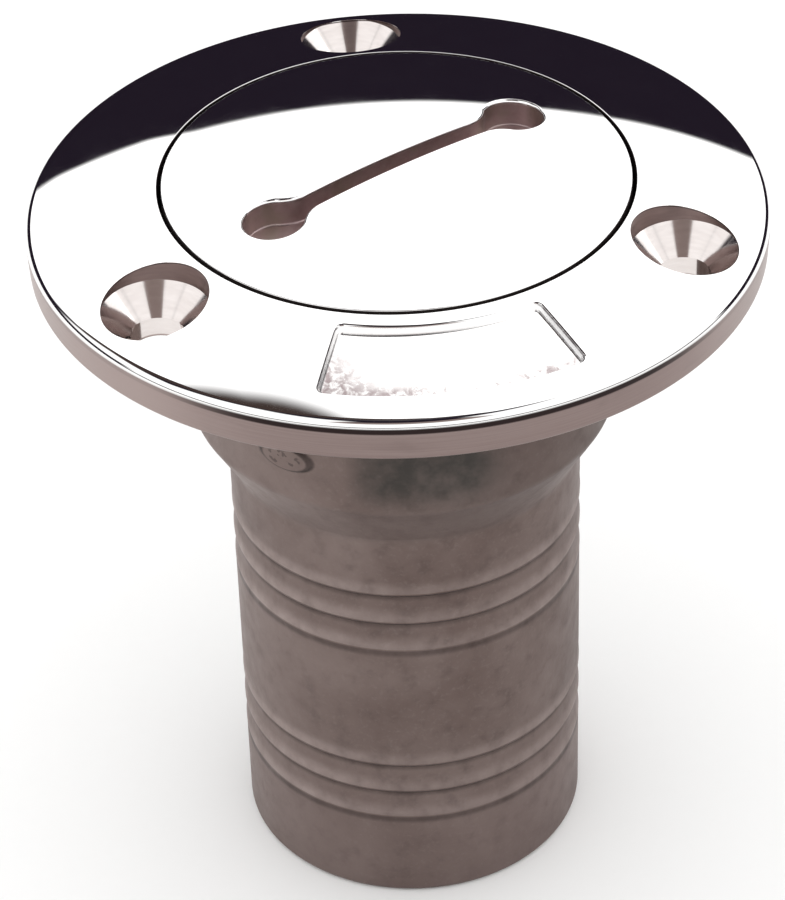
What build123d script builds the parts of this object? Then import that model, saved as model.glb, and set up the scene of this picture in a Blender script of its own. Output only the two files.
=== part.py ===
from build123d import *
import math
import os

# Boat deck fill for a 38.1 mm (1-1/2 in) hose: one stainless casting (flange,
# threaded neck, cone and barbed hose spigot) closed by a flush screw-in cap.
# A short ball chain inside the neck keeps the cap with the casting.
#
# Frame: origin on the axis in the plane of the flange's flat underside (the
# deck), +Z up and out of the deck, the blank label recess towards -Y.
# All dimensions are in millimetres.

os.makedirs("parts", exist_ok=True)

# ---------------------------------------------------------------- driving sizes
FLANGE_R = 38.1            # flange radius (3 in over all)
RIM_DRAFT = 0.2            # the rim band draws in towards the deck
RIM_ROUND = 1.0            # rounded upper edge of the rim
DOME_R = 142.0             # radius of the gently domed top
DOME_TOP = 9.5             # height of the dome on the axis

CAP_R = 24.0               # cap outer radius
CAP_GAP = 0.4              # radial gap round the cap
CAP_UNDER = 3.3            # height of the underside of the cap's head
SEAT_Z = 3.0               # floor of the cap's counterbore
GLAND_R = 21.4             # O-ring gland, outer radius
GLAND_Z = 1.0              # O-ring gland, floor

NECK_R = 22.5              # outside of the threaded neck
NECK_LOW = -18.8           # where the neck starts to cone in
CONE_LOW = -25.2           # where the cone meets the hose tube
TUBE_R = 18.85             # hose tube, outside radius (38.1 mm hose)
TUBE_BORE = 16.5           # hose tube, inside radius
TUBE_END = -75.3           # free end of the hose tube
NECK_BORE = 19.2           # inside of the neck = root of the internal thread
NECK_BORE_LOW = -17.8      # where the inside starts to cone in
CONE_BORE_LOW = -24.6

BARB_TOP = -32.3           # first crest of the upper barb group
BARB_PITCH = 3.8           # crest to crest
BARB_GROUP = 23.9          # upper group to lower group
BARB_PROUD = 0.05          # crest above the tube
BARB_SUNK = 0.28           # groove under the crest

THREAD_PITCH = 3.0
THREAD_CREST = 17.9        # internal thread, crest radius
CAP_ROOT = 17.5            # cap thread, root radius
CAP_CREST = 18.6           # cap thread, crest radius
THREAD_W_ROOT = 1.6        # ridge width at its root
THREAD_W_CREST = 0.8       # ridge width at its crest
THREAD_Z = (-9.9, -0.6)    # internal ridge, between these heights
CAP_THREAD_Z = (-8.9, -0.2)
CAP_NECK = 18.55           # plain neck between the cap's head and its thread
CAP_SKIRT_LOW = -10.0      # lower end of the cap's skirt
CAP_SKIRT_BORE = 14.8      # inside of the skirt
CAP_PLATE_UNDER = 3.5      # underside of the head inside the skirt

SCREW_PCD = 61.2           # circle of the three deck screws
SCREW_HOLE_R = 2.7         # clears a 5 mm countersunk screw
CSK_R = 5.42               # counterbore above the 90 degree countersink
CSK_SEAT = 4.85            # height where the counterbore ends and the cone starts
SCREW_ANGLES = (-150.0, -30.0, 90.0)

LABEL_IN, LABEL_OUT = 25.9, 34.8   # label recess at the dome, inner and outer radius
LABEL_HALF = 22.7                  # half its angle there, degrees
LABEL_DEEP = 0.7
LABEL_BEVEL = 0.75                 # width of the sloped wall all round it

PAD_Z = -13.6              # height of the oval foundry pad on the neck
PAD_ANGLE = -131.0         # direction the pad faces

KEY_ANGLE = 28.0           # direction of the key slot with the cap closed
KEY_POCKET = 15.3          # pocket centres from the axis
KEY_POCKET_R = 3.1
KEY_SLOT_W = 2.2
KEY_FLARE = 1.9            # length over which the slot opens into the pocket
KEY_DEEP = 3.0

ORING_R, ORING_C = 19.9, 1.05      # O-ring centre radius and section radius

# chain: 2.4 mm balls on 3.2 mm centres
BALL_R = 1.2
BALL_BORE = 1.02
BALL_HOLE = 0.42
BALL_PITCH = 3.2
LINK_R = 0.22
LINK_END_R = 0.40
LINK_END_AT = 0.50         # the link's end from the ball's centre
WALL_X = -14.5             # the wall leg of the chain
CAP_X = 5.06               # the cap leg of the chain
LOOP_R = 10.0              # radius of the hanging loop
CAP_RISE = 9.0             # travel of the cap: three turns of the thread
EYE_Z = -14.9              # height of the eye in the neck's wall

DOME_Z = DOME_TOP - DOME_R


def dome(r, inset=0.0):
    """Height of the domed top at radius r, or of a surface inset below it."""
    return DOME_Z + math.sqrt((DOME_R - inset) ** 2 - r * r)


def polar(r, deg, z=0.0):
    a = math.radians(deg)
    return Vector(r * math.cos(a), r * math.sin(a), z)


def section(points):
    """Closed face in the XZ plane. A point is (r, z); a third value is the
    (r, z) that an arc from the previous point passes through."""
    edges = []
    prev = points[0]
    for p in points[1:] + [points[0]]:
        a, b = (prev[0], prev[1]), (p[0], p[1])
        if len(p) > 2:
            edges += ThreePointArc(a, p[2], b).edges()
        elif math.dist(a, b) > 1e-9:
            edges += Line(a, b).edges()
        prev = p
    return make_face(edges)


def rounded(face, corners):
    """Round the face's corners nearest to each (r, z) by its radius."""
    for (r, z), radius in corners:
        v = min(face.vertices(), key=lambda q: math.hypot(q.X - r, q.Y - z))
        face = fillet(v, radius)
    return face


def turned(face):
    return revolve(Plane.XZ * face, axis=Axis.Z)


def ridge(r_root, r_crest, z0, z1, phase):
    """One helical thread ridge between two heights, rooted at r_root."""
    path = Helix(pitch=THREAD_PITCH, height=z1 - z0, radius=r_root)
    lean = (THREAD_W_ROOT - THREAD_W_CREST) / 2
    sunk = 0.35 if r_crest > r_root else -0.35
    d = r_crest - r_root
    w = THREAD_W_ROOT / 2
    prof = make_face(Polyline((-sunk, -w), (0, -w), (d, -w + lean), (d, w - lean), (0, w), (-sunk, w), close=True).edges())
    at = Plane(origin=path @ 0, x_dir=(1, 0, 0), z_dir=path % 0)
    solid = sweep(at * prof, path=path, is_frenet=True)
    return Pos(0, 0, z0) * Rot(0, 0, phase) * solid


def torus(centre, axis, major, minor):
    return Plane(origin=centre, z_dir=axis) * Torus(major, minor)


def put(name, shape, expect=None):
    solids = list(shape.solids())
    if expect is not None and len(solids) != expect:
        raise SystemExit(f"{name}: {len(solids)} solids, not {expect}")
    out = Compound(children=solids) if len(solids) > 1 else solids[0]
    out.label = name
    export_step(out, f"parts/{name}.step")
    print(f"{name}: {len(solids)} solid(s), {sum(s.volume for s in solids):.1f} mm3")


# ------------------------------------------------------------------ deck casting
def barb_points():
    pts = []
    for top in (BARB_TOP, BARB_TOP - BARB_GROUP):
        for i in range(3):
            c = top - i * BARB_PITCH
            up = c + (2.7 if i == 0 else BARB_PITCH - 0.55)
            foot = TUBE_R if i == 0 else TUBE_R - BARB_SUNK
            crest = TUBE_R + BARB_PROUD
            if i == 0:
                pts.append((TUBE_R, up))
            # slightly hollow ramp up to the crest
            pts.append((crest - 0.02, c + 0.3, ((foot + crest) / 2 - 0.05, (up + c + 0.3) / 2)))
            # rounded crest
            pts.append((crest - 0.03, c - 0.15, (crest, c + 0.1)))
            # short step down under it
            low = TUBE_R - BARB_SUNK if i < 2 else TUBE_R
            pts.append((low, c - 0.55))
    return pts


def deck_body():
    neck_in = [(TUBE_BORE, TUBE_END), (TUBE_BORE, CONE_BORE_LOW), (NECK_BORE, NECK_BORE_LOW),
               (NECK_BORE, GLAND_Z), (GLAND_R, GLAND_Z), (GLAND_R, SEAT_Z), (CAP_R + CAP_GAP, SEAT_Z)]
    pts = [(CAP_R + CAP_GAP, dome(CAP_R + CAP_GAP)),
           (FLANGE_R, dome(FLANGE_R), (31.0, dome(31.0))),
           (FLANGE_R - RIM_DRAFT, 0.0),
           (NECK_R, 0.0), (NECK_R, NECK_LOW), (TUBE_R, CONE_LOW)]
    pts += barb_points()
    pts += [(TUBE_R, TUBE_END)] + neck_in
    face = section(pts)
    face = rounded(face, [((FLANGE_R, dome(FLANGE_R)), RIM_ROUND), ((FLANGE_R - RIM_DRAFT, 0), 0.4),
                          ((NECK_R, 0), 1.6), ((NECK_R, NECK_LOW), 2.0), ((TUBE_R, CONE_LOW), 2.5),
                          ((TUBE_R, TUBE_END), 0.8), ((TUBE_BORE, TUBE_END), 0.4),
                          ((TUBE_BORE, CONE_BORE_LOW), 2.0), ((NECK_BORE, NECK_BORE_LOW), 2.0),
                          ((NECK_BORE, GLAND_Z), 0.35), ((GLAND_R, SEAT_Z), 0.2),
                          ((CAP_R + CAP_GAP, dome(CAP_R + CAP_GAP)), 0.25)])
    body = turned(face)

    # three countersunk screw holes, square to the deck: on the dome's high
    # side the head sits below a short counterbore wall
    r = SCREW_PCD / 2
    for a in SCREW_ANGLES:
        low = CSK_SEAT - (CSK_R - SCREW_HOLE_R)
        hole = turned(section([(0, -5), (SCREW_HOLE_R, -5), (SCREW_HOLE_R, low), (CSK_R, CSK_SEAT), (CSK_R, 12), (0, 12)]))
        body -= Pos(polar(r, a)) * hole

    # blank label recess: its floor follows the dome, inside a sloped wall
    r0, r1 = LABEL_IN + LABEL_BEVEL, LABEL_OUT - LABEL_BEVEL
    side = math.radians(LABEL_HALF)
    lines = []
    for r in (r0, r1):
        a = side - math.asin(LABEL_BEVEL / r)
        lines.append([Vector(s * r * math.sin(a), -r * math.cos(a), 0) for s in (-1, 1)])
    (a0, a1), (b0, b1) = lines
    lab = make_face([
        *Line(a0, b0).edges(), *ThreePointArc(b0, (0, -r1, 0), b1).edges(),
        *Line(b1, a1).edges(), *ThreePointArc(a1, (0, -r0, 0), a0).edges()])
    lab = fillet(lab.vertices(), 0.5)
    recess = extrude(Pos(0, 0, 2) * lab, 8) - Pos(0, 0, DOME_Z) * Sphere(DOME_R - LABEL_DEEP)
    body -= recess
    middle = Vector(0, 0, DOME_Z)
    rim = [e for e in body.edges()
           if all(abs((e @ t - middle).length - DOME_R) < 0.01 for t in (0.02, 0.5, 0.98))
           and r0 - 0.1 < math.hypot((e @ 0.5).X, (e @ 0.5).Y) < r1 + 0.1
           and abs(math.degrees(math.atan2((e @ 0.5).Y, (e @ 0.5).X)) + 90) < LABEL_HALF]
    top = [f for f in body.faces() if f.geom_type == GeomType.SPHERE
           and abs((f.center() - middle).length - DOME_R) < 8 and f.area > 1000][0]
    body = chamfer(rim, LABEL_BEVEL, LABEL_DEEP - 0.04, reference=top)

    # blank foundry pad on the neck, an oval left of the front
    pad = Plane(origin=polar(0, 0, PAD_Z), x_dir=polar(1, PAD_ANGLE + 90), z_dir=polar(1, PAD_ANGLE)) * Pos(0, 0, 20) * \
        extrude(Ellipse(3.3, 1.7), 8)
    shell = Cylinder(NECK_R + 0.4, 8) - Cylinder(NECK_R - 0.6, 8)
    body += pad & (Pos(0, 0, PAD_Z) * shell)

    # hole for the chain's eye pin
    body -= Pos(-NECK_BORE + 0.5, 0, EYE_Z) * Rot(0, -90, 0) * Cylinder(0.72, 2.7, align=(Align.CENTER, Align.CENTER, Align.MIN))

    # internal thread
    body += ridge(NECK_BORE, THREAD_CREST, *THREAD_Z, 0)
    return body


# --------------------------------------------------------------------------- cap
def key_recess():
    """Two round pockets joined by a slot that flares into them."""
    r, w = KEY_POCKET_R, KEY_SLOT_W / 2
    sk = Rectangle(2 * KEY_POCKET, KEY_SLOT_W)
    for s in (-1, 1):
        c = s * KEY_POCKET
        sk += Pos(c, 0) * Circle(r)
        x1 = c - s * (r * 0.62)
        y1 = math.sqrt(r * r - (r * 0.62) ** 2)
        x2 = c - s * (r + KEY_FLARE)
        top = ThreePointArc((x1, y1), ((x1 * 0.62 + x2 * 0.38), w + (y1 - w) * 0.30), (x2, w))
        bot = ThreePointArc((x2, -w), ((x1 * 0.62 + x2 * 0.38), -w - (y1 - w) * 0.30), (x1, -y1))
        sk += make_face([*top.edges(), *Line((x2, w), (x2, -w)).edges(), *bot.edges(),
                         *Line((x1, -y1), (x1, y1)).edges()])
    return sk


def fill_cap():
    z0 = CAP_PLATE_UNDER
    pts = [(0, DOME_TOP), (CAP_R, dome(CAP_R), (12.0, dome(12.0))), (CAP_R, CAP_UNDER),
           (CAP_NECK, CAP_UNDER), (CAP_NECK, 2.0), (CAP_ROOT, 0.8), (CAP_ROOT, CAP_SKIRT_LOW),
           (CAP_SKIRT_BORE, CAP_SKIRT_LOW), (CAP_SKIRT_BORE, z0), (4.5, z0), (4.5, 1.5),
           (2.05, 1.5), (2.05, 4.8), (0, 4.8)]
    face = section(pts)
    face = rounded(face, [((CAP_R, dome(CAP_R)), 0.25), ((CAP_R, CAP_UNDER), 0.3), ((CAP_ROOT, CAP_SKIRT_LOW), 0.6),
                          ((CAP_SKIRT_BORE, CAP_SKIRT_LOW), 0.3), ((CAP_SKIRT_BORE, z0), 1.5), ((4.5, z0), 0.5)])
    cap = turned(face)
    floor = Pos(0, 0, DOME_Z) * Sphere(DOME_R - KEY_DEEP)
    cut = extrude(Pos(0, 0, 4) * Rot(0, 0, KEY_ANGLE) * key_recess(), 7) - floor
    cap -= cut
    rim = [e for e in cap.edges()
           if all(abs((e @ t - Vector(0, 0, DOME_Z)).length - DOME_R) < 0.02 for t in (0.02, 0.5, 0.98))
           and math.hypot((e @ 0.5).X, (e @ 0.5).Y) < 20.5]
    cap = chamfer(rim, 0.3)
    # half a pitch out of step with the internal ridge
    phase = 360.0 * (CAP_THREAD_Z[0] - THREAD_Z[0] - THREAD_PITCH / 2) / THREAD_PITCH
    cap += ridge(CAP_ROOT, CAP_CREST, *CAP_THREAD_Z, phase)
    return cap


# ------------------------------------------------------------------- small parts
def eyelet():
    """Bent strap that turns freely on the screw; the chain hangs from its tab."""
    plate = Pos(0, 0, 0.1) * extrude(Circle(3.6), 0.8)
    arm = Pos(2.73, 0, 0.5) * Box(5.46, 4.0, 0.8)
    tab = Pos(5.06, 0, -1.9) * Box(0.8, 4.0, 5.6)
    s = plate + arm + tab
    outer = s.edges().filter_by(Axis.Y).filter_by(lambda e: abs((e @ 0.5).X - 5.46) < 0.05 and (e @ 0.5).Z > 0.8)
    s = fillet(outer, 0.7)
    low = s.edges().filter_by(Axis.X).filter_by(lambda e: (e @ 0.5).Z < -4.6)
    s = fillet(low, 1.6)
    s -= Pos(0, 0, -1) * Cylinder(2.45, 6)
    s -= Pos(5.06, 0, -3.0) * Rot(0, 90, 0) * Cylinder(0.9, 4)
    return s


def screw():
    """Cap-side screw with a pan head, a shoulder and a driving slot."""
    head = section([(0, -2.2), (2.2, -2.2), (3.3, -1.1, (3.0, -1.85)), (3.3, -0.3), (2.1, -0.3), (2.1, 1.0),
                    (2.0, 1.0), (2.0, 4.3), (1.7, 4.6), (0, 4.6)])
    s = turned(head)
    return s - Pos(0, 0, -2.2) * Box(8, 0.8, 1.6)


def washer():
    return turned(section([(2.15, 1.05), (4.2, 1.05), (4.2, 1.5), (2.15, 1.5)]))


def bell(x, z_top, z_low, ear_axis, ear_z):
    """Chain end: a ball cup with a wire ear on top."""
    cup = section([(0, z_top), (1.0, z_top), (1.62, z_top - 0.8, (1.42, z_top - 0.25)), (1.62, z_low + 0.5),
                   (1.0, z_low, (1.45, z_low + 0.13)), (0.7, z_low), (0.7, z_low + 0.3),
                   (1.3, z_low + 0.7, (1.12, z_low + 0.42)), (1.3, z_top - 0.9), (0.9, z_top - 0.55), (0, z_top - 0.55)])
    s = Pos(x, 0, 0) * turned(cup)
    ear = torus((x, 0, ear_z), ear_axis, 1.1, 0.35)
    inside = Pos(x, 0, (z_top - 0.55 + z_low) / 2) * Cylinder(1.3, z_top - 0.55 - z_low)
    return s + (ear - inside)


def ball(c, *towards):
    """Hollow ball at c with a hole facing each neighbouring point."""
    b = Pos(c) * Sphere(BALL_R) - Pos(c) * Sphere(BALL_BORE)
    for t in towards:
        b -= Plane(origin=c, z_dir=t - c) * Cylinder(BALL_HOLE, 2, align=(Align.CENTER, Align.CENTER, Align.MIN))
    return b


def link(a, b, end_b=LINK_END_R):
    """Dumb-bell wire between two ball centres; its ends sit inside the balls."""
    d = (b - a).normalized()
    p, q = a + d * LINK_END_AT, b - d * LINK_END_AT
    rod = Plane(origin=p, z_dir=d) * Cylinder(LINK_R, (q - p).length, align=(Align.CENTER, Align.CENTER, Align.MIN))
    return rod + Pos(p) * Sphere(LINK_END_R) + Pos(q) * Sphere(end_b)


def row_of_balls(centres, before, after):
    """Balls along a chain, their holes facing the points before and after."""
    pts = [before] + list(centres) + [after]
    return group([ball(c, a, b) for a, c, b in zip(pts, pts[1:], pts[2:])])


def group(items):
    return Compound(children=[s for i in items for s in i.solids()])


# chain layout, all in the plane y = 0
half_swing = math.asin(CAP_RISE / (4 * LOOP_R))
wall_cup_ball = EYE_Z - 7.6                       # ball held in the wall leg's cup
wall_balls = [Vector(WALL_X, 0, wall_cup_ball - i * BALL_PITCH) for i in range(4)]
pivot = Vector(WALL_X, 0, wall_balls[-1].Z - BALL_PITCH / 2)
far = pivot + Vector(2 * LOOP_R * math.cos(half_swing), 0, -2 * LOOP_R * math.sin(half_swing))
mid = (pivot + far) * 0.5
n_loop = 10
loop_balls = []
for i in range(n_loop):
    t = math.pi * (i + 0.5) / n_loop
    u = (pivot - far).normalized()                # from the middle to the pivot
    v = Vector(-math.sin(half_swing), 0, -math.cos(half_swing))
    loop_balls.append(mid + u * (LOOP_R * math.cos(t)) + v * (LOOP_R * math.sin(t)))
cap_cup_ball = -11.0
n_cap = 9
cap_balls = [Vector(CAP_X, 0, cap_cup_ball - i * BALL_PITCH) for i in range(n_cap)]
print(f"loop pivot {pivot.X:.3f} {pivot.Z:.3f}, free end {far.X:.3f} {far.Z:.3f}, swing {2 * math.degrees(half_swing):.3f} deg")
print(f"cap leg ends at z {cap_balls[-1].Z - BALL_PITCH / 2:.3f}")

UP = Vector(0, 0, 1)

put("deck_body", deck_body(), 1)
put("fill_cap", fill_cap(), 1)
put("cap_o_ring", Pos(0, 0, CAP_UNDER - ORING_C) * Torus(ORING_R, ORING_C), 1)
put("swivel_screw", screw(), 1)
put("swivel_washer", washer(), 1)
put("swivel_eyelet", eyelet(), 1)
put("cap_split_ring", torus((CAP_X, 0, -5.55), (0, 1, 0), 2.2, 0.4), 1)
put("cap_chain_cup", bell(CAP_X, -9.1, -12.6, (1, 0, 0), -8.0), 1)
put("cap_leg_balls", row_of_balls(cap_balls, cap_balls[0] + UP, cap_balls[-1] - UP), n_cap)
put("cap_leg_links", group([link(a, b) for a, b in zip(cap_balls, cap_balls[1:])]), n_cap - 1)
put("loop_balls", row_of_balls(loop_balls, pivot, far), n_loop)
put("loop_links", group([link(a, b) for a, b in zip(loop_balls, loop_balls[1:])]), n_loop - 1)
put("wall_leg_balls", row_of_balls(wall_balls, wall_balls[0] + UP, wall_balls[-1] - UP), len(wall_balls))
# the last link of the wall leg reaches into the loop's first ball
last = pivot - UP * (BALL_PITCH / 2)
put("wall_leg_links", group([link(a, b) for a, b in zip(wall_balls, wall_balls[1:])] +
                            [link(wall_balls[-1], last, 0.35)]), len(wall_balls))
put("wall_chain_cup", bell(WALL_X, wall_cup_ball + 1.9, wall_cup_ball - 1.6, (0, 1, 0), EYE_Z - 4.6), 1)
put("wall_split_ring", torus((WALL_X, 0, EYE_Z - 2.35), (1, 0, 0), 2.0, 0.4), 1)
eye = torus((WALL_X, 0, EYE_Z), (0, 1, 0), 1.3, 0.45)
shank = Pos(-15.55, 0, EYE_Z) * Rot(0, -90, 0) * Cylinder(0.7, 21.2 - 15.55, align=(Align.CENTER, Align.CENTER, Align.MIN))
collar = Pos(-18.4, 0, EYE_Z) * Rot(0, -90, 0) * Cylinder(1.4, 0.55, align=(Align.CENTER, Align.CENTER, Align.MIN))
put("wall_eye_pin", eye + shank + collar, 1)
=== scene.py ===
import math

import bpy
from mathutils import Matrix, Vector


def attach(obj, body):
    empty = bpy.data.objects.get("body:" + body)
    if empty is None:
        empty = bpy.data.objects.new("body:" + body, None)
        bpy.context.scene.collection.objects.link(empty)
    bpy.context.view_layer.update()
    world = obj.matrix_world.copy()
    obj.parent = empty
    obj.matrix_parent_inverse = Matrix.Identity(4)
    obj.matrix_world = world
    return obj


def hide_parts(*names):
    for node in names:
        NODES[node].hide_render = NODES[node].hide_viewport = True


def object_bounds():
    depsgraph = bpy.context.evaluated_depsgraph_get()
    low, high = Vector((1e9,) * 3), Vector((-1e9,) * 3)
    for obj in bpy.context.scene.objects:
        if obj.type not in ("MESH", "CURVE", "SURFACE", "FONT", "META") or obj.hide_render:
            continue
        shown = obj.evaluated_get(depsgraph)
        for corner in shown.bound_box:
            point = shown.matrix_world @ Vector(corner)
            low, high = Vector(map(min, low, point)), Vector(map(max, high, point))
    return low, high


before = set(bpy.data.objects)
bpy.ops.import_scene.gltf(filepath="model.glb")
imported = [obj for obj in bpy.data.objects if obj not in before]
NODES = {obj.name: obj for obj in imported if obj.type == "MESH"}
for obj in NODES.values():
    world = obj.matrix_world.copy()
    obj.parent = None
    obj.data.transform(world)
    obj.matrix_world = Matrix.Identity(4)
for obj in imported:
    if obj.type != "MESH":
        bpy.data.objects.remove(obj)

CAD_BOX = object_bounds()
scene = bpy.context.scene

MM = 0.001
DOME_R = 142.0 * MM
DOME_C = (9.5 - 142.0) * MM      # height of the dome's centre
PAD_A, PAD_Z = math.radians(-131.0), -13.6


# ------------------------------------------------------------------ camera
def make_camera():
    data = bpy.data.cameras.new("view")
    data.sensor_width = 36.0
    data.sensor_fit = "AUTO"
    data.lens = 141.64
    data.clip_start = 0.02
    data.clip_end = 20.0
    data.dof.use_dof = False
    cam = bpy.data.objects.new("view", data)
    right = Vector((0.98635745, -0.16248441, -0.02641599)).normalized()
    fwd = Vector((0.11342337, 0.78710365, -0.60630272)).normalized()
    up = right.cross(fwd).normalized()
    right = fwd.cross(up).normalized()
    m = Matrix((right, up, -fwd)).transposed().to_4x4()
    m.translation = Vector((-0.04455347, -0.29994128, 0.20354713))
    cam.matrix_world = m
    scene.collection.objects.link(cam)
    scene.camera = cam
    return cam


# ------------------------------------------------------------------ node helper
class Tree:
    """Short names for the shader nodes used below."""

    def __init__(self, tree):
        self.t = tree
        self.n = tree.nodes
        self.l = tree.links
        self.n.clear()

    def new(self, kind, **props):
        node = self.n.new(kind)
        for k, v in props.items():
            setattr(node, k, v)
        return node

    def put(self, socket, value):
        if isinstance(value, bpy.types.NodeSocket):
            self.l.new(value, socket)
        else:
            socket.default_value = value

    def math(self, op, a, b=0.0, c=0.0, clamp=False):
        node = self.new("ShaderNodeMath", operation=op, use_clamp=clamp)
        for s, v in zip(node.inputs, (a, b, c)):
            self.put(s, v)
        return node.outputs[0]

    def add(self, a, b):
        return self.math("ADD", a, b)

    def sub(self, a, b):
        return self.math("SUBTRACT", a, b)

    def mul(self, a, b):
        return self.math("MULTIPLY", a, b)

    def inv(self, a):
        return self.math("SUBTRACT", 1.0, a)

    def step(self, x, lo, hi):
        """0 below lo, 1 above hi, smooth between."""
        node = self.new("ShaderNodeMapRange", interpolation_type="SMOOTHSTEP", clamp=True)
        self.put(node.inputs["Value"], x)
        self.put(node.inputs["From Min"], lo)
        self.put(node.inputs["From Max"], hi)
        self.put(node.inputs["To Min"], 0.0)
        self.put(node.inputs["To Max"], 1.0)
        return node.outputs["Result"]

    def ramp(self, x, lo, hi, to_lo, to_hi):
        node = self.new("ShaderNodeMapRange", interpolation_type="LINEAR", clamp=True)
        self.put(node.inputs["Value"], x)
        self.put(node.inputs["From Min"], lo)
        self.put(node.inputs["From Max"], hi)
        self.put(node.inputs["To Min"], to_lo)
        self.put(node.inputs["To Max"], to_hi)
        return node.outputs["Result"]

    def mix(self, f, a, b):
        """Numbers: a where f is 0, b where f is 1."""
        node = self.new("ShaderNodeMix", data_type="FLOAT")
        self.put(node.inputs[0], f)
        self.put(node.inputs[2], a)
        self.put(node.inputs[3], b)
        return node.outputs[0]

    def col(self, f, a, b):
        """Colours: a where f is 0, b where f is 1."""
        node = self.new("ShaderNodeMix", data_type="RGBA")
        self.put(node.inputs[0], f)
        for s, v in ((node.inputs[6], a), (node.inputs[7], b)):
            self.put(s, v if isinstance(v, bpy.types.NodeSocket) else tuple(v) + (1.0,))
        return node.outputs[2]

    def noise(self, vec, scale, detail=3.0, rough=0.55, distort=0.0):
        node = self.new("ShaderNodeTexNoise")
        self.put(node.inputs["Vector"], vec)
        self.put(node.inputs["Scale"], scale)
        self.put(node.inputs["Detail"], detail)
        self.put(node.inputs["Roughness"], rough)
        self.put(node.inputs["Distortion"], distort)
        return node.outputs[0]

    def scaled(self, vec, xyz):
        node = self.new("ShaderNodeVectorMath", operation="MULTIPLY")
        self.put(node.inputs[0], vec)
        self.put(node.inputs[1], xyz)
        return node.outputs[0]

    def bump(self, height, distance, strength, normal=None):
        node = self.new("ShaderNodeBump")
        self.put(node.inputs["Height"], height)
        self.put(node.inputs["Distance"], distance)
        self.put(node.inputs["Strength"], strength)
        if normal is not None:
            self.put(node.inputs["Normal"], normal)
        return node.outputs[0]


def material(name):
    mat = bpy.data.materials.new(name)
    mat.use_nodes = True
    t = Tree(mat.node_tree)
    out = t.new("ShaderNodeOutputMaterial")
    bsdf = t.new("ShaderNodeBsdfPrincipled")
    t.l.new(bsdf.outputs[0], out.inputs[0])
    coord = t.new("ShaderNodeTexCoord").outputs["Object"]
    sep = t.new("ShaderNodeSeparateXYZ")
    t.l.new(coord, sep.inputs[0])
    x, y, z = sep.outputs
    r = t.math("SQRT", t.add(t.mul(x, x), t.mul(y, y)))
    return mat, t, bsdf, coord, x, y, z, r


# ------------------------------------------------------------------ materials
def polished(t, coord):
    """Mirror polish on stainless: a faint haze and hairline wear."""
    haze = t.noise(coord, 260.0, 2.0, 0.5)
    wear = t.noise(t.scaled(coord, (900.0, 160.0, 900.0)), 1.0, 2.0, 0.5)
    rough = t.add(t.ramp(haze, 0.35, 0.75, 0.022, 0.040), t.ramp(wear, 0.62, 0.75, 0.0, 0.012))
    colour = t.col(haze, (0.88, 0.87, 0.865), (0.93, 0.92, 0.915))
    return colour, rough


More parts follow.
